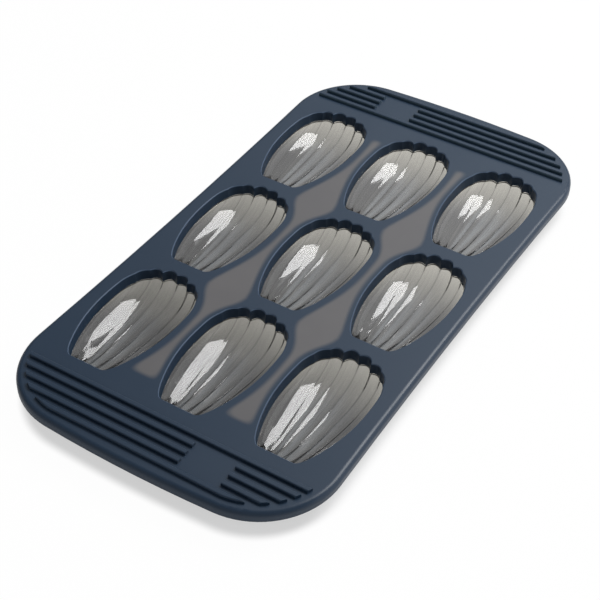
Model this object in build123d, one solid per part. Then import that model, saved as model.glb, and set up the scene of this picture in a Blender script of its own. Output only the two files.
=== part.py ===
from build123d import *
import os

# Madeleine pan in two silicones, in millimetres: a navy frame with ribbed grips, nine translucent
# scalloped shells bonded under its mouths, and two grey web strips let in between the columns.
# Origin at the centre of the footprint on the surface it stands on, +Y along the pan, +Z up.
# The frame's flat top is the deck. Every piece is built from the deck down, then lifted.

# Cavity grid: three columns, three rows, every nose towards the front
COLUMNS = ("left", "middle", "right")
ROWS = ("front", "centre", "back")
COLUMN_GAP = 8.7
ROW_GAP = 7.7

# One cavity, measured at the deck
CAVITY_LENGTH = 69.1
CAVITY_WIDTH = 40.3
CREASE_DEPTH = 13.5
LOBE_RISE = 1.35

# Pan outline around the grid: sides drawn in at the waist, ends crowned
GRIP_LENGTH = 36.95
SIDE_MARGIN = 7.75
END_CROWN = 4.6
SIDE_WAIST = 2.3
CORNER_RADIUS = 38.0

# Frame section
WEB = 2.2
RIM_RADIUS = 2.4
SKIRT_HEIGHT = 5.2
SKIRT_WALL = 2.2
SKIRT_ROUND = 0.8

# Collar that hangs from the deck around each mouth
COLLAR_DEPTH = 5.1
COLLAR_DRAFT = 0.6
COLLAR_WALL = 1.8
MOUTH_CHAMFER = 0.4

# Shell: wall, flange under the collar, tongue held in the collar, flats it stands on
SHELL_WALL = 1.2
FLANGE_THICKNESS = 1.2
TONGUE_HEIGHT = 2.6
TONGUE_WIDTH = 0.9
TONGUE_INSET = 0.2
REST_LAND = 0.2

# Web strips between the columns
RING_WIDTH = 3.0
STRIP_WIDTH = 20.6
STRIP_FRONT = 7.6
STRIP_BACK = 11.9
STRIP_CORNER = 1.2
STRIP_LEDGE = 0.5
STRIP_LIP = 1.1

# Grip ribs at both ends: first rib's offset from the grid, last rib's from the pan's end
RIB_COUNT = 5
RIB_WIDTH = 2.4
RIB_HEIGHT = 1.5
RIB_ROUND = 0.6
RIB_OFFSET = 9.4
RIB_END = 7.35
RIB_INSET = 4.6
PATCH_WIDTH = 21.0
PATCH_OFFSET = 29.4

OVERRUN = 1.0

# Control rows of one half of the bowl, from the middle crease (first) out to the mouth's edge
# (last). Columns run from the nose to the back. Across: shares of half the cavity's width.
CREASE_ACROSS_SHARES = (
    (0.000, 0.00, 0.00, 0.00, 0.000, 0.000, 0.000),
    (0.145, 0.20, 0.25, 0.33, 0.375, 0.360, 0.342),
    (0.265, 0.34, 0.43, 0.58, 0.670, 0.650, 0.635),
    (0.350, 0.50, 0.63, 0.80, 0.890, 0.880, 0.864),
    (0.400, 0.626, 0.702, 1.023, 1.006, 1.004, 0.978),
)
# Along: shares of the cavity's length
CREASE_ALONG_SHARES = (
    (0.0, 0.03, 0.18, 0.49, 0.79, 0.915, 0.981),
    (0.0, 0.03, 0.18, 0.48, 0.77, 0.890, 0.951),
    (0.0, 0.03, 0.17, 0.46, 0.74, 0.860, 0.929),
    (0.0, 0.04, 0.16, 0.40, 0.64, 0.770, 0.839),
    (0.0, 0.0, 0.137, 0.307, 0.454, 0.592, 0.711),
)
# Down: shares of the drop from the collar's foot to the middle crease
DROP_ALONG_SHARES = (0.0, 0.74, 0.89, 1.06, 1.17, 0.98, 0.0)
DROP_ACROSS_SHARES = (1.0, 0.955, 0.79, 0.51, 0.0)
# How far each lobe bulges past its two creases, in shares of the lobe rise: gently inside the
# bowl, fully where it meets the mouth at the back
LOBE_RISE_SHARES = (0.46, 0.43, 0.15, 0.37)
BACK_RISE_SHARES = (1.8, 1.2, 0.7, 0.33)
RISE_ALONG_SHARES = (0.0, 1.0, 1.0, 1.0, 0.85, 1.0, 1.0)
# Smooth line round the lobes' tops that the web strips follow, in shares of half the width
# across and of the length along
RING_ACROSS_SHARES = (0.99, 0.52)
RING_ALONG_SHARES = (0.85, 1.02)

HALF_WIDTH = CAVITY_WIDTH / 2
COLUMN_PITCH = CAVITY_WIDTH + COLUMN_GAP
ROW_PITCH = CAVITY_LENGTH + ROW_GAP
FIELD_LENGTH = len(ROWS) * ROW_PITCH - ROW_GAP
PAN_LENGTH = FIELD_LENGTH + 2 * GRIP_LENGTH
PAN_WIDTH = len(COLUMNS) * COLUMN_PITCH - COLUMN_GAP + 2 * SIDE_MARGIN
RIB_PITCH = (GRIP_LENGTH - RIB_OFFSET - RIB_END) / (RIB_COUNT - 1)
DROP = CREASE_DEPTH - COLLAR_DEPTH
BACK = len(DROP_ALONG_SHARES) - 1


def unit(vector):
    return vector.normalized()


def crease_point(row, column, grow):
    """Control point of one crease at the deck-sized cavity, before it is moved outwards."""
    across = CREASE_ACROSS_SHARES[row][column] * HALF_WIDTH
    along = CREASE_ALONG_SHARES[row][column] * CAVITY_LENGTH
    drop = DROP_ALONG_SHARES[column] * DROP_ACROSS_SHARES[row] * (DROP + grow + COLLAR_DRAFT)
    return Vector(across, along, -COLLAR_DEPTH - drop)


def outward(row, column):
    """Direction in which a control point moves when the bowl grows, level with the deck."""
    side = 1 - DROP_ACROSS_SHARES[row]
    if column == 0:
        return Vector(0, -1, 0)
    if column < BACK:
        end = {1: -1, BACK - 1: 1 - side}.get(column, 0)
        return Vector(side, end, 0)
    here = Vector(CREASE_ACROSS_SHARES[row][BACK], CREASE_ALONG_SHARES[row][BACK])
    return unit(Vector(here.X, here.Y - CREASE_ALONG_SHARES[-1][BACK] * side, 0))


def half_rows(grow):
    """The creases of the right half and its edge, all faces moved outwards by grow."""
    rows = []
    for row in range(len(DROP_ACROSS_SHARES)):
        moved = [
            crease_point(row, column, grow) + outward(row, column) * grow
            for column in range(BACK + 1)
        ]
        rows.append(moved)
    return rows


def lobe_row(inner, outer, lobe):
    """Middle control row of a lobe: it stands off the chord from crease to crease."""
    middle = []
    for column, (near, far) in enumerate(zip(inner, outer)):
        chord = unit(far - near)
        centre = (near + far) / 2
        spine = Vector(0, min(centre.Y, CREASE_ALONG_SHARES[-1][BACK] * CAVITY_LENGTH), -COLLAR_DEPTH)
        away = centre - spine
        square = unit(away - chord * away.dot(chord)) if column else Vector(0, -1, 0)
        share = BACK_RISE_SHARES[lobe] if column == BACK else LOBE_RISE_SHARES[lobe]
        rise = share * RISE_ALONG_SHARES[column] * LOBE_RISE
        middle.append(centre + square * (2 * rise))
    return middle


def mirrored(points):
    return [Vector(-point.X, point.Y, point.Z) for point in points]


def lobe_nets(grow):
    """Three control rows for each of the eight lobes, right half first."""
    rows = half_rows(grow)
    nets = []
    for lobe in range(len(rows) - 1):
        middle = lobe_row(rows[lobe], rows[lobe + 1], lobe)
        nets.append([rows[lobe], middle, rows[lobe + 1]])
    return nets + [[mirrored(row) for row in net] for net in nets]


def lifted(points, height):
    return [Vector(point.X, point.Y, height) for point in points]


def outline(grow, height, split_nose=False):
    """Closed scalloped outline of a cavity, grow outside its mouth, at a height."""
    nets = lobe_nets(grow)
    edges = []
    for net in nets:
        edges.append(Edge.make_bezier(*lifted([row[BACK] for row in net], height)))
        if split_nose:
            edges.append(Edge.make_line(*lifted([net[0][0], net[2][0]], height)))
    right, left = nets[len(nets) // 2 - 1][2], nets[-1][2]
    edges += [Edge.make_bezier(*lifted(side, height)) for side in (right, left)]
    if not split_nose:
        edges.append(Edge.make_line(*lifted([left[0], right[0]], height)))
    return Wire.combine(edges)[0]


def ring_between(inner_grow, outer_grow, bottom, height):
    """Upright wall between two outlines of a cavity."""
    ring = Face(outline(outer_grow, bottom), [outline(inner_grow, bottom)])
    return extrude(ring, height, dir=(0, 0, 1))


def bowl():
    """The scalloped bowl, one curved face for each lobe inside and outside, and its flat top."""
    inside, outside = -COLLAR_DRAFT, SHELL_WALL - COLLAR_DRAFT
    faces = [Face.make_bezier_surface(net) for grow in (inside, outside) for net in lobe_nets(grow)]
    top_outer = outline(outside, -COLLAR_DEPTH, split_nose=True)
    top_inner = outline(inside, -COLLAR_DEPTH, split_nose=True)
    faces.append(Face(top_outer, [top_inner]))
    return Solid(Shell(faces))


def shell_piece():
    """Bowl with its flange under the collar and its tongue up in the collar."""
    flange_foot = -COLLAR_DEPTH - FLANGE_THICKNESS
    flange = ring_between(0, COLLAR_WALL, flange_foot, FLANGE_THICKNESS)
    tongue = ring_between(TONGUE_INSET, TONGUE_INSET + TONGUE_WIDTH, -COLLAR_DEPTH, TONGUE_HEIGHT)
    return bowl() + flange + tongue


def pan_outline(inset):
    """Deck inside its outer edge by inset: waisted sides and crowned ends, blended corners."""
    waist = PAN_WIDTH / 2 - inset
    crown = PAN_LENGTH / 2 - inset
    x = waist + SIDE_WAIST
    y = crown - END_CROWN
    front = Edge.make_three_point_arc((-x, -y), (0, -crown), (x, -y))
    right = Edge.make_three_point_arc((x, -y), (waist, 0), (x, y))
    back = Edge.make_three_point_arc((x, y), (0, crown), (-x, y))
    left = Edge.make_three_point_arc((-x, y), (-waist, 0), (-x, -y))
    face = Face(Wire([front, right, back, left]))
    return fillet(face.vertices(), CORNER_RADIUS - inset)


def cell_places():
    """Name and place of each cavity's nose, by row and column."""
    for row, row_name in enumerate(ROWS):
        for column, column_name in enumerate(COLUMNS):
            x = (column - (len(COLUMNS) - 1) / 2) * COLUMN_PITCH
            y = row * ROW_PITCH - FIELD_LENGTH / 2
            yield f"shell_{row_name}_{column_name}", Pos(x, y, 0)


def ring_outline(grow):
    """Smooth outline that passes round the lobes' tops, grow outside the mouth."""
    edge = half_rows(grow)[-1]
    flat = lifted(edge, 0)
    tops = [
        Vector(across * HALF_WIDTH + grow * across, along * CAVITY_LENGTH + grow * along, 0)
        for across, along in zip(RING_ACROSS_SHARES, RING_ALONG_SHARES)
    ]
    crown = Vector(0, RING_ALONG_SHARES[-1] * CAVITY_LENGTH + grow, 0)
    half_back = [flat[-1], *tops, crown]
    edges = [Edge.make_line(mirrored(flat)[0], flat[0])]
    for side in (flat, mirrored(flat), half_back, mirrored(half_back)):
        edges.append(Edge.make_bezier(*side))
    return Face(Wire.combine(edges)[0])


def strip_section(ring, width):
    """Plan of a web strip: what a long bar keeps between the rings of two columns."""
    low = STRIP_FRONT - FIELD_LENGTH / 2
    high = FIELD_LENGTH / 2 - STRIP_BACK
    spare = width - STRIP_WIDTH
    bar = Rectangle(width, high - low + spare)
    plan = Pos(0, (low + high) / 2, 0) * bar
    for row in range(len(ROWS)):
        y = row * ROW_PITCH - FIELD_LENGTH / 2
        for side in (-1, 1):
            plan -= Pos(side * COLUMN_PITCH / 2, y, 0) * ring_outline(ring)
    return fillet(plan.vertices(), STRIP_CORNER)


def web_strip():
    """Strip flush with the deck, its lower half wider and caught under the frame's lip."""
    top = extrude(Pos(0, 0, -STRIP_LIP) * strip_section(RING_WIDTH, STRIP_WIDTH), STRIP_LIP)
    wide = strip_section(RING_WIDTH - STRIP_LEDGE, STRIP_WIDTH + 2 * STRIP_LEDGE)
    ledge = extrude(Pos(0, 0, -WEB) * wide, WEB - STRIP_LIP)
    return top + ledge


def grip():
    """Ribs of the front grip, trimmed to the outline, with a bare patch through the middle ones."""
    root = WEB / 2
    height = RIB_HEIGHT + root
    inset = extrude(Pos(0, 0, -root) * pan_outline(RIB_INSET), height)
    ribs = []
    for rib in range(RIB_COUNT):
        place = Pos(0, -FIELD_LENGTH / 2 - RIB_OFFSET - rib * RIB_PITCH, height / 2 - root)
        bar = place * Box(PAN_WIDTH, RIB_WIDTH, height) & inset
        if 0 < rib < RIB_COUNT - 1:
            bar -= place * Pos(PATCH_OFFSET, 0, 0) * Box(PATCH_WIDTH, RIB_PITCH, height)
        crests = bar.edges().group_by(Axis.Z)[-1].filter_by(Axis.X)
        ribs += fillet(crests, RIB_ROUND).solids()
    return ribs


def frame_piece(strips):
    """Deck, rim and skirt, grips, collars with their mouths and grooves, and the strips' slots."""
    body = extrude(Pos(0, 0, -SKIRT_HEIGHT) * pan_outline(0), SKIRT_HEIGHT)
    body = fillet(body.edges().group_by(Axis.Z)[-1], RIM_RADIUS)
    body = fillet(body.edges().group_by(Axis.Z)[0], SKIRT_ROUND)
    hollow = Pos(0, 0, -SKIRT_HEIGHT - OVERRUN) * pan_outline(SKIRT_WALL)
    body -= extrude(hollow, SKIRT_HEIGHT + OVERRUN - WEB)

    ribs = grip()
    body += ribs + [Rot(0, 0, 180) * rib for rib in ribs]
    collar = extrude(Face(outline(COLLAR_WALL, -COLLAR_DEPTH)), COLLAR_DEPTH - WEB / 2, dir=(0, 0, 1))
    body += [place * collar for _, place in cell_places()]

    foot, lip = outline(-COLLAR_DRAFT, -COLLAR_DEPTH), outline(0, -MOUTH_CHAMFER)
    mouth = Solid.make_loft([foot, lip], ruled=True)
    mouth += Solid.make_loft([lip, outline(MOUTH_CHAMFER, 0)], ruled=True)
    groove = ring_between(TONGUE_INSET, TONGUE_INSET + TONGUE_WIDTH, -COLLAR_DEPTH, TONGUE_HEIGHT)
    for _, place in cell_places():
        body -= place * mouth
        body -= place * groove
    for strip in strips:
        body -= strip
    return body


def build():
    """Every piece by node name, lifted so that the pan stands on its rest lands."""
    shell = shell_piece()
    base = shell.bounding_box().min.Z + REST_LAND
    land = Pos(0, CAVITY_LENGTH / 2, base - REST_LAND) * Box(CAVITY_WIDTH, CAVITY_LENGTH, 2 * REST_LAND)
    shell -= land
    strips = [Pos(side * COLUMN_PITCH / 2, 0, 0) * web_strip() for side in (-1, 1)]
    pieces = {"frame": frame_piece(strips)}
    pieces["web_strip_left"], pieces["web_strip_right"] = strips
    for name, place in cell_places():
        pieces[name] = place * shell
    return {name: Pos(0, 0, -base) * piece for name, piece in pieces.items()}


os.makedirs("parts", exist_ok=True)
for name, piece in build().items():
    solids = piece.solids()
    box = piece.bounding_box()
    print(name, len(solids), round(piece.volume, 1), box.min, box.max)
    export_step(piece, f"parts/{name}.step")
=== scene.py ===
# %% [markdown]
# # A silicone madeleine pan
# The real pan is moulded in two silicones. An opaque navy one makes the flat frame, its rounded
# rim and its ribbed grips. A translucent smoke-grey one makes nine scalloped shells and the two
# strips between the columns. The measured model of every piece is already there, and this lesson
# dresses it. The navy piece and the strips keep their measured shape and get a finish. The shells
# are made again as smooth surfaces, because their gloss shows every facet.

import math

import bpy
import numpy as np
from mathutils import Matrix, Vector


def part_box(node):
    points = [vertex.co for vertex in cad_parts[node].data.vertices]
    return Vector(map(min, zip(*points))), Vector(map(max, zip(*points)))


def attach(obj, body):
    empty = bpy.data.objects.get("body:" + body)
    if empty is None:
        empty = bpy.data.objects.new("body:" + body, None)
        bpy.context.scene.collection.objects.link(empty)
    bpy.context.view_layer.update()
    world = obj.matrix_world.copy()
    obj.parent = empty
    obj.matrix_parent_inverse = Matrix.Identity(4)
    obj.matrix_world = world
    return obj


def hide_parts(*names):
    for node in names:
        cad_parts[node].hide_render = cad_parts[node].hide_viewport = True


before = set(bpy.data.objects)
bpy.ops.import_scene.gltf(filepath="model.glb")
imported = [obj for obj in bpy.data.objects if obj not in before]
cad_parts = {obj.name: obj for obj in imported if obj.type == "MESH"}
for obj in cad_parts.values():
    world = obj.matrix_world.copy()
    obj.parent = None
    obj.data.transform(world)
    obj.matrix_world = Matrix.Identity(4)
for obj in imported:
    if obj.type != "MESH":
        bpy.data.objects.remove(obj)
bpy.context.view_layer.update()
MM = 0.001
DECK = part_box("web_strip_left")[1][2]
print("pieces:", sorted(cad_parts))
print("the deck is", round(DECK / MM, 2), "mm above the floor")

# %% [markdown]
# ## The camera
# The cavities make an even grid, so the photograph's perspective tells where its camera stood. It
# is described here as a photographer would: how far round from the pan's front, how high, how much
# it leans, and where it stands. A long lens keeps the grid's lines nearly parallel. The lamp is
# aimed in the same way further down, so the turn and the placing are small functions.

# %% Camera
PHOTO_WIDTH, FOCAL_PIXELS = 600, 1378.0
AROUND, ABOVE, LEAN = np.radians([31.57, 42.11, 0.84])
STAND = np.array([251.75, -423.95, 420.9]) * MM + np.array([0.0, 0.0, DECK])
NEAREST_SEEN = 10 * MM


def aimed(around, above, lean):
    """Rotation whose columns are right, up and back, for a thing that looks at the scene.
    Right is level, at the angle around; back points from the scene to the thing, above the
    horizon by the angle above; both right and up are then turned about back by the lean."""
    right = np.array([np.cos(around), np.sin(around), 0.0])
    back = np.array([
        np.sin(around) * np.cos(above),
        -np.cos(around) * np.cos(above),
        np.sin(above),
    ])
    up = np.cross(back, right)
    leaning_right = np.cos(lean) * right + np.sin(lean) * up
    leaning_up = np.cos(lean) * up - np.sin(lean) * right
    return np.column_stack([leaning_right, leaning_up, back])


def placed(turn, stand):
    """Matrix of a thing that is turned first and then moved to where it stands."""
    return Matrix.Translation(Vector(stand)) @ Matrix(turn.tolist()).to_4x4()


camera_data = bpy.data.cameras.new("photo_camera")
camera_data.lens = camera_data.sensor_width * FOCAL_PIXELS / PHOTO_WIDTH
camera_data.clip_start = NEAREST_SEEN
camera = bpy.data.objects.new("photo_camera", camera_data)
bpy.context.collection.objects.link(camera)
camera.matrix_world = placed(aimed(AROUND, ABOVE, LEAN), STAND)
bpy.context.scene.camera = camera
print("lens:", round(camera_data.lens, 1), "mm")

# %% [markdown]
# ## A short way to write finishes
# A finish is a small sum over the surface: how far a point is from a crease, how cloudy the
# silicone is there. Such a sum could be wired up by hand in the shader editor, but it is long. So
# one class wraps a socket and lets Python's operators add the Math nodes, and one method adds every
# other kind of node.

# %% A wire: arithmetic on a socket
class Wire:
    """An output socket of a node tree. Arithmetic on it adds a Math node and returns its output."""

    def __init__(self, nodes, socket):
        self.nodes = nodes
        self.socket = socket

    def __add__(self, other):
        return self.nodes.maths("ADD", self, other)

    def __sub__(self, other):
        return self.nodes.maths("SUBTRACT", self, other)

    def __rsub__(self, other):
        return self.nodes.maths("SUBTRACT", other, self)

    def __mul__(self, other):
        return self.nodes.maths("MULTIPLY", self, other)

    def __truediv__(self, other):
        return self.nodes.maths("DIVIDE", self, other)

    def __rtruediv__(self, other):
        return self.nodes.maths("DIVIDE", other, self)

    __radd__ = __add__
    __rmul__ = __mul__

    def step(self, low, high):
        """Smooth step: 0 below low, 1 above high, and an S curve between them."""
        settings = {"interpolation_type": "SMOOTHSTEP"}
        sockets = {"Value": self, "From Min": low, "From Max": high}
        return self.nodes.node("ShaderNodeMapRange", settings, sockets)


print("a wire takes + - * / and step")


# %% A tree of nodes
class Nodes:
    """A node tree with short ways to add to it."""

    def __init__(self, tree):
        self.tree = tree

    def feed(self, socket, value):
        """Links a wire to the socket, or sets the socket's own value."""
        if isinstance(value, Wire):
            self.tree.links.new(value.socket, socket)
        else:
            socket.default_value = value

    def node(self, kind, settings=None, sockets=None, output=0):
        """Adds a node: its settings first, then the values or links of its sockets. The setting
        curve is a list of the places and heights that a Float Curve node passes through."""
        node = self.tree.nodes.new(kind)
        settings = dict(settings or {})
        stops = settings.pop("curve", None)
        if stops:
            points = node.mapping.curves[0].points
            points[0].location, points[1].location = stops[0], stops[-1]
            for stop in stops[1:-1]:
                points.new(*stop)
            node.mapping.update()
        for name, value in settings.items():
            setattr(node, name, value)
        for name, value in (sockets or {}).items():
            self.feed(node.inputs[name], value)
        return Wire(self, node.outputs[output])

    def outputs(self, kind, names, sockets=None):
        """Several outputs of one new node."""
        node = self.node(kind, None, sockets).socket.node
        return [Wire(self, node.outputs[name]) for name in names]

    def maths(self, operation, *values):
        """A Math node's output: the operation on the values."""
        return self.node("ShaderNodeMath", {"operation": operation}, dict(enumerate(values)))

    def axes(self, vector):
        """The three numbers of a vector."""
        return self.outputs("ShaderNodeSeparateXYZ", "XYZ", {"Vector": vector})

    def place(self):
        """Object coordinates, in metres."""
        return self.node("ShaderNodeTexCoord", output="Object")

    def noise(self, grain, detail=2.0, roughness=0.5, vector=None):
        """Cloudy pattern from 0 to 1 whose patches are about a grain across, over the object
        coordinates or another vector."""
        sockets = {
            "Vector": vector or self.place(),
            "Scale": 1 / grain,
            "Detail": detail,
            "Roughness": roughness,
        }
        return self.node("ShaderNodeTexNoise", None, sockets)

    def mix(self, share, first, second):
        """Colour that goes from first to second as share goes from 0 to 1. Sockets 6 and 7 are
        the node's two colours, and output 2 is its colour."""
        sockets = {"Factor": share, 6: first, 7: second}
        return self.node("ShaderNodeMix", {"data_type": "RGBA"}, sockets, output=2)


print("a tree has", [name for name in vars(Nodes) if not name.startswith("_")])


# %% A finish: a material whose tree has one shader
class Finish(Nodes):
    """A material around one Principled shader."""

    def __init__(self, name, **shader_values):
        self.material = bpy.data.materials.new(name)
        self.material.use_nodes = True
        super().__init__(self.material.node_tree)
        self.shader = self.tree.nodes["Principled BSDF"]
        self.vary(**shader_values)

    def vary(self, **shader_values):
        """Feeds the shader's sockets, named with an underscore for each space."""
        for socket, value in shader_values.items():
            self.feed(self.shader.inputs[socket.replace("_", " ")], value)

    def bump(self, height, distance, strength=1.0):
        """Normal tilted by a height pattern, whose full range stands distance metres proud."""
        sockets = {"Height": height, "Distance": distance, "Strength": strength}
        tilted = self.node("ShaderNodeBump", None, sockets, "Normal")
        self.feed(self.shader.inputs["Normal"], tilted)


print("a finish adds", [name for name in vars(Finish) if not name.startswith("_")])

# %% [markdown]
# ## The creases of a shell
# A shell is a bowl of eight lobes that run from the narrow nose to the scalloped back and meet in
# creases. It could be sculpted, or cut out of a squashed ball, but the creases would wander. Here
# each lobe is one Bezier patch between two creases, with a middle row of control points that bulges
# past them. A table of shares gives the creases, so the same few rows make the inner face and,
# moved outwards by the wall, the outer one.

# %% Sizes and shares of one bowl
CAVITY_LENGTH, CAVITY_WIDTH = 69.1 * MM, 40.3 * MM
COLUMN_PITCH, ROW_PITCH = 49.0 * MM, 76.8 * MM
CREASE_DEPTH, COLLAR_DEPTH, COLLAR_DRAFT = 13.5 * MM, 5.1 * MM, 0.6 * MM
COLLAR_WALL, SHELL_WALL, FLANGE = 1.8 * MM, 1.2 * MM, 1.2 * MM
LOBE_RISE = 1.35 * MM
ACROSS_SHARES = np.array([
    (0.000, 0.00, 0.00, 0.00, 0.000, 0.000, 0.000),
    (0.145, 0.20, 0.25, 0.33, 0.375, 0.360, 0.342),
    (0.265, 0.34, 0.43, 0.58, 0.670, 0.650, 0.635),
    (0.350, 0.50, 0.63, 0.80, 0.890, 0.880, 0.864),
    (0.400, 0.626, 0.702, 1.023, 1.006, 1.004, 0.978),
])
ALONG_SHARES = np.array([
    (0.0, 0.03, 0.18, 0.49, 0.79, 0.915, 0.981),
    (0.0, 0.03, 0.18, 0.48, 0.77, 0.890, 0.951),
    (0.0, 0.03, 0.17, 0.46, 0.74, 0.860, 0.929),
    (0.0, 0.04, 0.16, 0.40, 0.64, 0.770, 0.839),
    (0.0, 0.0, 0.137, 0.307, 0.454, 0.592, 0.711),
])
DROP_ALONG_SHARES = np.array([0.0, 0.74, 0.89, 1.06, 1.17, 0.98, 0.0])
DROP_ACROSS_SHARES = np.array([1.0, 0.955, 0.79, 0.51, 0.0])
LOBE_RISE_SHARES = np.array([0.46, 0.43, 0.15, 0.37])
BACK_RISE_SHARES = np.array([1.8, 1.2, 0.7, 0.33])
RISE_ALONG_SHARES = np.array([0.0, 1.0, 1.0, 1.0, 0.85, 1.0, 1.0])
EDGE_END_SHARE = ALONG_SHARES[-1, -1]
print("half a bowl has", len(ACROSS_SHARES), "creases of", len(DROP_ALONG_SHARES), "points")


# %% Control rows of the creases and the lobes
def unit(vectors):
    """Vectors of length one: each is divided by its own length."""
    return vectors / np.linalg.norm(vectors, axis=-1, keepdims=True)


def crease_rows(grow):
    """Control points of the right half's five creases, from the middle one to the mouth's edge.
    Each is its share of half the width, of the length and of the drop below the collar's foot,
    moved level and outwards by grow: forwards at the nose, sideways along the walls and away from
    the widest point at the back."""
    deepest = CREASE_DEPTH - COLLAR_DEPTH + grow + COLLAR_DRAFT
    drop = np.outer(DROP_ACROSS_SHARES, DROP_ALONG_SHARES) * deepest
    across, along = ACROSS_SHARES * CAVITY_WIDTH / 2, ALONG_SHARES * CAVITY_LENGTH
    rows = np.dstack([across, along, -COLLAR_DEPTH - drop])
    side = 1 - DROP_ACROSS_SHARES
    outward = np.zeros_like(rows)
    outward[:, 1:-1, 0] = side[:, None]
    outward[:, :2, 1] = -1.0
    outward[:, -2, 1] = 1 - side
    outward[:, -1, 0] = ACROSS_SHARES[:, -1]
    outward[:, -1, 1] = ALONG_SHARES[:, -1] - EDGE_END_SHARE * side
    outward[:, -1] = unit(outward[:, -1])
    return rows + outward * grow


def lobe_rows(creases):
    """Middle control row of each lobe: the point halfway between two creases, moved by twice the
    lobe's rise, square to the line that joins them and away from the bowl's middle."""
    near, far = creases[:-1], creases[1:]
    chord, centre = unit(far - near), (near + far) / 2
    spine = np.zeros_like(centre)
    spine[..., 1] = np.minimum(centre[..., 1], EDGE_END_SHARE * CAVITY_LENGTH)
    spine[..., 2] = -COLLAR_DEPTH
    away = centre - spine
    square = away - chord * (away * chord).sum(axis=-1, keepdims=True)
    square[:, 0] = (0.0, -1.0, 0.0)
    rise = np.outer(LOBE_RISE_SHARES, RISE_ALONG_SHARES) * LOBE_RISE
    rise[:, -1] = BACK_RISE_SHARES * LOBE_RISE
    return centre + unit(square) * (2 * rise)[..., None]


def bowl_rows(grow):
    """All seventeen control rows from the left edge to the right: creases and lobes in turn. The
    left half is the right one mirrored."""
    creases = crease_rows(grow)
    half = np.empty((len(creases) * 2 - 1,) + creases.shape[1:])
    half[0::2], half[1::2] = creases, lobe_rows(creases)
    return np.concatenate([half[:0:-1] * (-1.0, 1.0, 1.0), half])


print("a whole bowl has", len(bowl_rows(0.0)), "control rows")

# %% [markdown]
# ## From control rows to a surface
# Blender could subdivide a coarse cage, but that rounds the creases away. So the patches are worked
# out point by point, as one array. Neighbouring patches share the row of their crease, so the lobes
# meet in a line that stays crisp.

# %% A grid of points
LOBES, LOBE_STEPS, LENGTH_STEPS = 8, 14, 110
ACROSS_ORDER, ALONG_ORDER = 2, 6


def crowded(count):
    """Steps from 0 to 1 that crowd towards both ends, as the heights of half a cosine wave do."""
    return (1 - np.cos(np.linspace(0, np.pi, count + 1))) / 2


def bezier_weights(order, steps):
    """Weight of each control point at each step: the binomial coefficient, times the step to the
    power of the point's number, times one minus the step to the power of what is left."""
    number = np.arange(order + 1)[:, None]
    choose = np.array([math.comb(order, n) for n in range(order + 1)])[:, None]
    return choose * steps**number * (1 - steps) ** (order - number)


def bowl_grid(grow):
    """Points of the bowl's face as an array, first across the lobes and then along them, with
    the lobes counted so far at each point across and the way gone at each point along.
    Across, the steps crowd towards the creases, and along, towards the nose and the back."""
    across, along = crowded(LOBE_STEPS), crowded(LENGTH_STEPS)
    rows = bowl_rows(grow)
    patches = np.stack([rows[2 * lobe:2 * lobe + 3] for lobe in range(LOBES)])
    weights_across = bezier_weights(ACROSS_ORDER, across)
    weights_along = bezier_weights(ALONG_ORDER, along)
    points = np.einsum("iu,jv,kijc->kuvc", weights_across, weights_along, patches)
    grid = np.concatenate([points[:, :-1].reshape(-1, len(along), 3), points[-1, -1:]])
    lobe = np.append((np.arange(LOBES)[:, None] + across[None, :-1]).ravel(), LOBES)
    return grid, lobe, along


inner, lobe_number, along_number = bowl_grid(-COLLAR_DRAFT)
print("one face of a shell has", inner.shape[0], "by", inner.shape[1], "points")
print("its deepest point is", round(-inner[..., 2].min() / MM, 1), "mm below the deck")

# %% [markdown]
# ## The shell's closed skin
# A real shell has a wall, and light bends where it goes in and out of it. A Solidify modifier would
# give one, but not the flat flange that seats under the collar, or the small flats that the pan
# stands on. So inner face, top, flange and outer face are joined here as one closed grid.


# %% Skin of one shell
def rim_order(wide, long):
    """Places of a grid's edge points, once round: nose, right edge, back, left edge."""
    place = np.arange(wide * long).reshape(wide, long)
    return np.concatenate([place[:-1, 0], place[-1, :-1], place[:0:-1, -1], place[0, :0:-1]])


def shell_skin():
    """Inner face, flat top, flange and outer face as one closed grid.
    The outer face is the inner one's form grown by the wall. It is cut level under the flange and
    where the shell stands, by holding each height between those two planes."""
    outer = bowl_grid(SHELL_WALL - COLLAR_DRAFT)[0]
    outer[..., 2] = np.clip(outer[..., 2], -DECK, -COLLAR_DEPTH - FLANGE)
    edge = rim_order(*inner.shape[:2])
    collar = bowl_grid(COLLAR_WALL)[0].reshape(-1, 3)[edge]
    top, foot = collar.copy(), collar.copy()
    top[:, 2], foot[:, 2] = -COLLAR_DEPTH, -COLLAR_DEPTH - FLANGE
    points = np.concatenate([inner.reshape(-1, 3), outer.reshape(-1, 3), top, foot])

    place = np.arange(inner.shape[0] * inner.shape[1]).reshape(inner.shape[:2])
    corners = [place[:-1, :-1], place[1:, :-1], place[1:, 1:], place[:-1, 1:]]
    quads = np.stack(corners, axis=-1).reshape(-1, 4)
    faces = [quads, quads[:, ::-1] + place.size]
    top_edge = 2 * place.size + np.arange(len(edge))
    loops = [edge, top_edge, top_edge + len(edge), place.size + edge]
    for near, far in zip(loops, loops[1:]):
        faces.append(np.stack([near, far, np.roll(far, -1), np.roll(near, -1)], axis=-1))

    ruler = np.stack(np.meshgrid(lobe_number, along_number, indexing="ij"), axis=-1).reshape(-1, 2)
    return points, np.concatenate(faces), np.concatenate([ruler, ruler, ruler[edge], ruler[edge]])


def volume(points, quads):
    """Signed volume inside a closed skin: a sixth of the sum, over its triangles, of the first
    corner dotted with the cross product of the other two. It is positive if faces point out."""
    triangles = points[np.concatenate([quads[:, [0, 1, 2]], quads[:, [0, 2, 3]]])]
    return (triangles[:, 0] * np.cross(triangles[:, 1], triangles[:, 2])).sum() / 6


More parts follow.
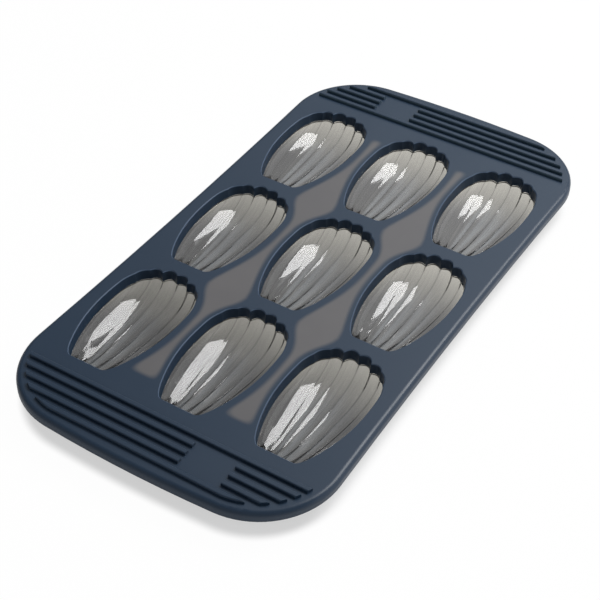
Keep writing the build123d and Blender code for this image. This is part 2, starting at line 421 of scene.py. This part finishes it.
skin_points, skin_quads, skin_ruler = shell_skin()
if volume(skin_points, skin_quads) < 0:
    skin_quads = skin_quads[:, ::-1]
print("a shell's skin holds", round(volume(skin_points, skin_quads) / MM**3), "cubic mm")

# %% [markdown]
# ## The strips' soft edge
# The two silicones meet on a slope. The navy tapers away under the grey for about three
# millimetres, and shows through it, so a strip has no hard outline, as a cut one would have. A
# painted mask could do this, but only at one size. Here the seam follows the rings round the
# mouths. Seen from a cavity's centre, a ring is a radius that changes with the direction, and a
# curve node holds that radius. Rows and columns repeat, so the coordinates are folded back to one
# cavity first.

# %% The seam round one mouth
RING = 3.1 * MM
RING_ACROSS_SHARES, RING_ALONG_SHARES = (0.99, 0.52, 0.0), (0.85, 1.02, 1.02)
CENTRE_SHARE = 0.55
LONGEST_RADIUS = 48 * MM
CURVE_STEPS, NOSE_STEPS, DIRECTIONS = 60, 20, 25


def bezier_curve(points):
    """Points along the Bezier curve of some control points: at each step, their weighted sum."""
    return bezier_weights(len(points) - 1, np.linspace(0, 1, CURVE_STEPS)).T @ points


def ring_radii(directions):
    """Distance from the cavity's centre to the seam, for each direction from 0, towards the
    back, to pi, towards the nose. The seam is the mouth's edge curve and the smooth curve over
    the lobes' tops, each moved outwards by the ring, and the line across the nose."""
    edge = crease_rows(RING)[-1, :, :2]
    tops = np.column_stack([
        np.array(RING_ACROSS_SHARES) * (CAVITY_WIDTH / 2 + RING),
        np.array(RING_ALONG_SHARES) * CAVITY_LENGTH + RING,
    ])
    nose_across = np.linspace(0, edge[0, 0], NOSE_STEPS)
    nose = np.column_stack([nose_across, np.full(NOSE_STEPS, edge[0, 1])])
    back = bezier_curve(np.vstack([edge[-1:], tops]))
    seam = np.vstack([nose, bezier_curve(edge), back]) - (0, CENTRE_SHARE * CAVITY_LENGTH)
    turn = np.arctan2(seam[:, 0], seam[:, 1])
    order = np.argsort(turn)
    return np.interp(directions, turn[order], np.hypot(seam[:, 0], seam[:, 1])[order])


directions = np.linspace(0, np.pi, DIRECTIONS)
radii = ring_radii(directions)
ring_curve = list(zip((directions / np.pi).tolist(), (radii / LONGEST_RADIUS).tolist()))
print("seam's radius from", round(min(radii) / MM, 1), "to", round(max(radii) / MM, 1), "mm")

# %% Where the grey shows
TAPER, CORNER_BLEND = 1.45 * MM, 8.0 * MM
SEAM_SHIFT_X, SEAM_SHIFT_Y = 0.85 * MM, -0.8 * MM
STRIP_FRONT, STRIP_BACK, STRIP_WIDTH = 7.6 * MM, 11.9 * MM, 20.6 * MM
GRID_LENGTH = 2 * ROW_PITCH + CAVITY_LENGTH
ROW_GAP = ROW_PITCH - CAVITY_LENGTH
TOP_BAND = DECK - 1.0 * MM, DECK - 0.3 * MM


def grey_share(finish):
    """Share of grey at a point: 0 on the navy, 1 on the strips. Each side of a strip gives a
    distance, the least of them counts, and where two are alike their corner is rounded."""
    x, y, z = finish.axes(finish.place())
    across = finish.maths("PINGPONG", x - SEAM_SHIFT_X, COLUMN_PITCH / 2)
    from_nose = y + (GRID_LENGTH / 2 - SEAM_SHIFT_Y)
    along = finish.maths("WRAP", from_nose, ROW_PITCH - ROW_GAP / 2, -ROW_GAP / 2)
    along = along - CENTRE_SHARE * CAVITY_LENGTH
    direction = finish.maths("ARCTAN2", across, along) / math.pi
    ring = finish.node("ShaderNodeFloatCurve", {"curve": ring_curve}, {"Value": direction})
    inside = finish.maths("SQRT", across * across + along * along) - ring * LONGEST_RADIUS
    sides = (
        across - (COLUMN_PITCH - STRIP_WIDTH) / 2,
        y + (GRID_LENGTH / 2 - STRIP_FRONT),
        GRID_LENGTH / 2 - STRIP_BACK - y,
    )
    for side in sides:
        inside = finish.maths("SMOOTH_MIN", inside, side, CORNER_BLEND)
    between_columns = COLUMN_PITCH - finish.maths("ABSOLUTE", x)
    share = inside.step(-TAPER, TAPER) * between_columns.step(0.0, MM)
    return share * z.step(*TOP_BAND)


print("the seam fades over", round(2 * TAPER / MM, 1), "mm")

# %% [markdown]
# ## Inside and outside the pan
# Two finishes need to know how far a point is from the pan's outline: the painted highlight on the
# lips is only round the mouths, not on the outer rim, and the table is in shadow up to the outline.
# The outline is a rectangle with big round corners, drawn in at the waist of each side and crowned
# at each end.

# %% Distance from the outline
HALF_PAN_WAIST, HALF_PAN_LENGTH, PAN_CORNER = 76.9 * MM, 148.3 * MM, 38.0 * MM
SIDE_WAIST, END_CROWN = 2.3 * MM, 4.6 * MM


def outside_pan(nodes):
    """Distance from the pan's outline, outside it: how far a point is beyond the straight part of
    each side, as the long side of a right triangle, less the corner's radius."""
    x, y = nodes.axes(nodes.place())[:2]
    wide = y * y * (SIDE_WAIST / HALF_PAN_LENGTH**2) + HALF_PAN_WAIST
    long = HALF_PAN_LENGTH - x * x * (END_CROWN / HALF_PAN_WAIST**2)
    beyond_x = nodes.maths("MAXIMUM", nodes.maths("ABSOLUTE", x) - wide + PAN_CORNER, 0.0)
    beyond_y = nodes.maths("MAXIMUM", nodes.maths("ABSOLUTE", y) - long + PAN_CORNER, 0.0)
    return nodes.maths("SQRT", beyond_x * beyond_x + beyond_y * beyond_y) - PAN_CORNER


print("the outline is", round(2 * HALF_PAN_LENGTH / MM, 1), "mm long in its middle")

# %% [markdown]
# ## Navy and grey silicone
# The frame is moulded in a blasted tool, so it is satin: a fine even grain spreads every highlight.
# Handling leaves faint patches, a little duller than the rest, and silicone draws dust, which greys
# the colour here and there. The sides of the back grip's ribs are painted lighter, which is painted
# light that lifts their shade. The lips of the mouths are painted paler, a painted highlight.
# The strips are the shells' silicone, let in flush and left matt, and they are cloudy. A single
# flat colour would look like paint, so each of these is a share that mixes two colours. A band is
# the pair of values between which such a share goes from 0 to 1. One function makes both finishes,
# so that the seam runs on across the joint.

# %% Navy and grey finish
GRAIN, SMUDGE, DUST = 0.35 * MM, 22 * MM, 1.6 * MM
GRAIN_HEIGHT, GRAIN_STRENGTH = 0.02 * MM, 0.35
MOUTH_CHAMFER = 0.4 * MM
NAVY, DUSTY_NAVY = (0.0115, 0.0275, 0.054, 1.0), (0.018, 0.036, 0.064, 1.0)
# The lips' paler navy is a painted highlight, and the rib colour is painted light on rib sides.
LIP_HIGHLIGHT_NAVY, BACK_RIB_PAINTED_LIGHT = (0.075, 0.115, 0.185, 1.0), (0.042, 0.075, 0.100, 1.0)
GREY, PALE_GREY = (0.098, 0.095, 0.099, 1.0), (0.122, 0.117, 0.119, 1.0)
LEVEL_BAND = DECK - 0.1 * MM, DECK - 0.005 * MM
LIP_BAND = DECK - MOUTH_CHAMFER * 1.5, DECK - MOUTH_CHAMFER
OUTER_RIM_BAND = -6.0 * MM, -4.0 * MM
RIB_FOOT_BAND = DECK + 0.05 * MM, DECK + 0.3 * MM
RIB_CREST_BAND = DECK + 1.2 * MM, DECK + 1.45 * MM
BACK_BAND = 0.0, 0.12
DUST_BAND, SMUDGE_BAND = (0.55, 0.85), (0.3, 0.7)
LIP_HIGHLIGHT_SHARE, DUST_COVER, SMUDGE_COVER = 0.8, 0.5, 0.3
SATIN, SMUDGE_DULLS, GREY_DULLS, LIP_DULLS = 0.36, 0.05, 0.02, 0.16


def satin_finish(name):
    """Navy where the strips' share is 0 and grey where it is 1, with dust and grain, a painted
    highlight on the lips, and painted light on the sides of the back grip's ribs.
    """
    finish = Finish(name, IOR=1.42)
    smudges = finish.noise(SMUDGE, detail=3.0)
    dust = finish.noise(DUST, detail=4.0, roughness=0.7)
    share = grey_share(finish)
    y, z = finish.axes(finish.place())[1:]
    off_rim = 1 - outside_pan(finish).step(*OUTER_RIM_BAND)
    # Painted highlight: the lips of the mouths, along their chamfer, are painted a paler navy.
    lip = z.step(*LIP_BAND) * (1 - z.step(*LEVEL_BAND)) * off_rim
    # Painted light: on the back grip the ribs' sides are lightened, which lifts their shade.
    rib_sides = z.step(*RIB_FOOT_BAND) * (1 - z.step(*RIB_CREST_BAND))
    navy = finish.mix(lip * LIP_HIGHLIGHT_SHARE, NAVY, LIP_HIGHLIGHT_NAVY)
    navy = finish.mix(rib_sides * y.step(*BACK_BAND), navy, BACK_RIB_PAINTED_LIGHT)
    dusty = dust.step(*DUST_BAND) * DUST_COVER + smudges * SMUDGE_COVER
    navy = finish.mix(dusty, navy, DUSTY_NAVY)
    grey = finish.mix(smudges, GREY, PALE_GREY)
    duller = smudges.step(*SMUDGE_BAND) * SMUDGE_DULLS + share * GREY_DULLS + lip * LIP_DULLS
    finish.vary(Base_Color=finish.mix(share, navy, grey), Roughness=duller + SATIN)
    finish.bump(finish.noise(GRAIN), GRAIN_HEIGHT, GRAIN_STRENGTH)
    return finish.material


navy_material, grey_material = satin_finish("navy_silicone"), satin_finish("grey_silicone")
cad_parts["frame"].material_slots[0].material = navy_material
for strip in ("web_strip_left", "web_strip_right"):
    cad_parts[strip].material_slots[0].material = grey_material
print("satin finish on the frame and both strips")

# %% [markdown]
# ## Smoke silicone
# The shells' silicone is clear with a smoky tint, and polished, so it mirrors the lamp and lets
# light through. Each crease has a dark line, partly for the thicker silicone there and partly
# painted shade, which is stronger on the right-hand lobes, and the left wall is darkened a little
# with painted shade. Towards the back, where the lobes run up, the colour is paler: painted light
# that shines through the shell there. Faint streaks follow the flow of the silicone from the nose.
# A picture wrapped round the shell could show all this, but it would blur close to. So the pattern
# follows the surface and reads the piece's own ruler: lobes counted across, and the way from nose
# to back. The bump bends the mirror image only. Near the nose each lobe is a narrow pleat over a
# floor that stays flat for longer, so the lamp's image runs on in thin lines.

# %% Smoke finish: colour
SMOKE, PALE_SMOKE = (0.195, 0.196, 0.200, 1.0), (0.64, 0.62, 0.56, 1.0)
# The colour of the painted shade in the creases and on the left wall.
SHADED_SMOKE = (0.030, 0.030, 0.031, 1.0)
HAZE, STREAK = 9 * MM, 0.12
STREAK_SLOWNESS, STREAK_WAVER = 0.15, 0.1
# The first band is where the back is painted paler, which is painted light.
PAINTED_BACKLIGHT_BAND, STREAK_BAND = (0.55, 1.1), (0.35, 0.75)
PAINTED_BACKLIGHT, HAZE_THINS, STREAK_THINS = 0.85, 0.06, 0.1
LEFT_WALL_BAND, CREASE_BAND, RIGHT_LOBES_BAND = (0.2, 2.8), (0.0, 0.05), (3.5, 5.5)
CREASE_DARKENS, RIGHT_DARKENS, WALL_DARKENS = 0.28, 0.5, 0.06
POLISH, HAZE_DULLS = 0.03, 0.04

smoke = Finish("smoke_silicone", IOR=1.41, Transmission_Weight=0.92, Specular_IOR_Level=0.8)
ruler_node = smoke.node("ShaderNodeUVMap", {"uv_map": "ruler"})
lobes_across, way_back = smoke.axes(ruler_node)[:2]
off_crease = smoke.maths("PINGPONG", lobes_across, 0.5)
haze = smoke.noise(HAZE, detail=3.0)
flow = {"X": lobes_across, "Y": way_back * STREAK_SLOWNESS, "Z": haze * STREAK_WAVER}
along_lobes = smoke.node("ShaderNodeCombineXYZ", None, flow)
streaks = smoke.noise(STREAK, detail=3.0, roughness=0.6, vector=along_lobes)
# Paler towards the back: painted light shining through, plus the cloudy haze and streaks.
backlight_and_haze = way_back.step(*PAINTED_BACKLIGHT_BAND) * PAINTED_BACKLIGHT + haze * HAZE_THINS
backlight_and_haze = backlight_and_haze + streaks.step(*STREAK_BAND) * STREAK_THINS
# Painted shade: the left wall of each bowl is darkened.
left_wall_shade = 1 - lobes_across.step(*LEFT_WALL_BAND)
# The crease line is partly thicker silicone and partly painted shade, more on the right lobes.
crease = 1 - off_crease.step(*CREASE_BAND)
crease = crease * (lobes_across.step(*RIGHT_LOBES_BAND) * RIGHT_DARKENS + CREASE_DARKENS)
tint = smoke.mix(backlight_and_haze, SMOKE, PALE_SMOKE)
tint = smoke.mix(crease + left_wall_shade * WALL_DARKENS, tint, SHADED_SMOKE)
smoke.vary(Base_Color=tint, Roughness=haze * HAZE_DULLS + POLISH)
print("smoke silicone mixed")

# %% Smoke finish: what bends the mirror image
NOSE_BAND, FLOOR_BAND = (0.12, 0.5), (-0.1, 0.38)
PLEAT_RISE, FLOOR_RISE = 0.9, 1.7
STREAK_RISE, NOSE_STREAK_RISE = 0.003, 0.007
BUMP_HEIGHT = 1.6 * MM

nose_end = 1 - way_back.step(*NOSE_BAND)
pleats = off_crease * (1 - off_crease) * nose_end * PLEAT_RISE
floor = way_back.step(*FLOOR_BAND) * FLOOR_RISE
flow_lines = streaks * (nose_end * NOSE_STREAK_RISE + STREAK_RISE)
smoke.bump(pleats + floor + flow_lines, BUMP_HEIGHT)
print("its bump is", BUMP_HEIGHT / MM, "mm for a height of 1")

# %% [markdown]
# ## Nine shells
# The nine shells come out of nine equal moulds. Copies that share one mesh would be the lightest,
# but each piece has its place in its own mesh, as the measured ones do, so one small function makes
# the mesh and a loop over rows and columns places it. Each new shell stands for the measured one.


# %% Make and place the shells
def make_piece(name, points, quads, ruler_values, material):
    """Mesh object from arrays: points, four-cornered faces, and the ruler as its UV map."""
    mesh = bpy.data.meshes.new(name)
    mesh.from_pydata(points.tolist(), [], quads.tolist())
    uv = mesh.uv_layers.new(name="ruler")
    uv.data.foreach_set("uv", ruler_values[quads.ravel()].ravel())
    mesh.polygons.foreach_set("use_smooth", np.ones(len(quads), dtype=bool))
    mesh.materials.append(material)
    mesh.update()
    piece = bpy.data.objects.new(name, mesh)
    bpy.context.collection.objects.link(piece)
    return piece


COLUMNS, ROWS = ("left", "middle", "right"), ("front", "centre", "back")
for row, row_name in enumerate(ROWS):
    for column, column_name in enumerate(COLUMNS):
        node = f"shell_{row_name}_{column_name}"
        nose = np.array([(column - 1) * COLUMN_PITCH, row * ROW_PITCH - GRID_LENGTH / 2, DECK])
        shell = make_piece(
            "smoke_" + node, skin_points + nose, skin_quads, skin_ruler, smoke.material)
        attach(shell, "root")
        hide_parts(node)
print(len(ROWS) * len(COLUMNS), "shells of", len(skin_quads), "faces each")

# %% [markdown]
# ## The table
# The pan lies on a plain white table. More light would make the table white but burn out the pan,
# so the table gives some light of its own instead. To the camera it glows almost fully outside the
# pan's outline, and about half as much under the pan, where the lamp's soft shadow shows. In the
# pan's gloss it glows by a third. Through the shells it is bright on the lamp's side and dim in
# front. It lies a hair lower than the shells' feet, so that the two surfaces don't touch.

# %% Table
TABLE_REACH, TABLE_GAP = 4.0, 0.1 * MM
TABLE_WHITE, GLOW_WHITE = (0.85, 0.85, 0.85, 1.0), (1.0, 1.0, 1.0, 1.0)
SHADOW_BAND, LAMP_SIDE_BAND = (-2.5 * MM, 3.2 * MM), (-0.13, 0.16)
GLOW_UNDER_PAN, GLOW_FADES_IN = 0.55, 0.43
GLOW_MIRRORED, GLOW_THROUGH_FRONT, GLOW_THROUGH_LAMP_SIDE = 0.3, 0.03, 0.8
LAMP_SIDE_X, LAMP_SIDE_Y = 0.6, 0.8

table_mesh = bpy.data.meshes.new("table")
table_corners = np.array([(-1, -1), (1, -1), (1, 1), (-1, 1)]) * TABLE_REACH
table_points = [(x, y, -TABLE_GAP) for x, y in table_corners.tolist()]
table_mesh.from_pydata(table_points, [], [(0, 1, 2, 3)])
table = bpy.data.objects.new("table", table_mesh)
bpy.context.collection.objects.link(table)
white = Finish("white_table", Base_Color=TABLE_WHITE, Roughness=0.8)
rays = ["Is Camera Ray", "Is Glossy Ray", "Is Transmission Ray"]
seen, mirrored, through = white.outputs("ShaderNodeLightPath", rays)
table_x, table_y = white.axes(white.place())[:2]
lamp_side = (table_x * LAMP_SIDE_X + table_y * LAMP_SIDE_Y).step(*LAMP_SIDE_BAND)
glow_share = seen * (outside_pan(white).step(*SHADOW_BAND) * GLOW_FADES_IN + GLOW_UNDER_PAN)
glow_share = glow_share + mirrored * GLOW_MIRRORED
glow_share = glow_share + through * (lamp_side * GLOW_THROUGH_LAMP_SIDE + GLOW_THROUGH_FRONT)
glow = white.node("ShaderNodeEmission", None, {"Color": GLOW_WHITE, "Strength": 1.0})
plain = Wire(white, white.shader.outputs[0])
surface = white.node("ShaderNodeMixShader", None, {0: glow_share, 1: plain, 2: glow})
white.feed(white.tree.nodes["Material Output"].inputs["Surface"], surface)
table_mesh.materials.append(white.material)
print("table of", 2 * TABLE_REACH, "m")

# %% [markdown]
# ## The lamp
# One soft square lamp hangs behind the pan and to the right. A sun or a spot would light the pan as
# well, but its mirror image would be a dot. This one's image is the bright patch on the left wall
# of every bowl, so its place, turn and size were found from where that patch lies.

# %% Lamp
LAMP_AROUND, LAMP_ABOVE, LAMP_LEAN = np.radians([152.38, 50.05, -20.7])
LAMP_DISTANCE, LAMP_WIDTH, LAMP_HEIGHT = 1.073, 0.546, 0.575
LAMP_POWER = 11.0

lamp_turn = aimed(LAMP_AROUND, LAMP_ABOVE, LAMP_LEAN)
lamp_data = bpy.data.lights.new("softbox", "AREA")
lamp_data.shape = "RECTANGLE"
lamp_data.size, lamp_data.size_y = LAMP_WIDTH, LAMP_HEIGHT
lamp_data.energy = LAMP_POWER
lamp = bpy.data.objects.new("softbox", lamp_data)
bpy.context.collection.objects.link(lamp)
lamp.matrix_world = placed(lamp_turn, lamp_turn[:, 2] * LAMP_DISTANCE + (0.0, 0.0, DECK))
print("lamp of", LAMP_POWER, "watts,", LAMP_DISTANCE, "m away")

# %% [markdown]
# ## The room
# Around the pan is a dim room, which fills the shadows. It has a cool bright window high at the
# back left, whose sheen lies on the deck, a low pale wall to the right, which lights the outer side
# of the rim, and a little light from the front. More lamps would do too, but each would add its own
# hard image to the polished shells. To the camera the room is plain white.

# %% Room
DIM, FRONT_FILL, RIGHT_WALL, BRIGHT = 0.24, 0.2, 0.9, 1.8
PLAIN, COOL = (1.0, 1.0, 1.0, 1.0), (0.92, 1.0, 1.07, 1.0)
WINDOW_BACK_BAND, WINDOW_HIGH_BAND, WINDOW_RIGHT_BAND = (-0.1, 0.55), (0.3, 0.55), (-0.2, 0.05)
WALL_RIGHT_BAND, WALL_TOP_BAND, WALL_BACK = (0.7, 1.1), (0.45, 0.7), 0.6
FRONT_BAND = 0.1, 0.9

room = bpy.data.worlds.new("room")
bpy.context.scene.world = room
room.use_nodes = True
sky = Nodes(room.node_tree)
sky_x, sky_y, sky_z = sky.axes(sky.node("ShaderNodeTexCoord", output="Generated"))
window = (sky_x + sky_y).step(*WINDOW_BACK_BAND) * sky_z.step(*WINDOW_HIGH_BAND)
window = window * (1 - sky_x.step(*WINDOW_RIGHT_BAND))
wall = (sky_x + sky_y * WALL_BACK).step(*WALL_RIGHT_BAND) * (1 - sky_z.step(*WALL_TOP_BAND))
front = (sky_y * -1).step(*FRONT_BAND)
strength = window * (BRIGHT - DIM) + front * FRONT_FILL + wall * RIGHT_WALL + DIM
in_view = sky.node("ShaderNodeLightPath", output="Is Camera Ray")
background = room.node_tree.nodes["Background"]
sky.feed(background.inputs["Strength"], strength + in_view * (1 - strength))
sky.feed(background.inputs["Color"], sky.mix(window * (1 - in_view), PLAIN, COOL))
bpy.context.scene.view_settings.view_transform = "Standard"
print("the room's light goes from", DIM, "to", BRIGHT)

# %% [markdown]
# ## Last look
# The dressed model has to be as large as the measured one.
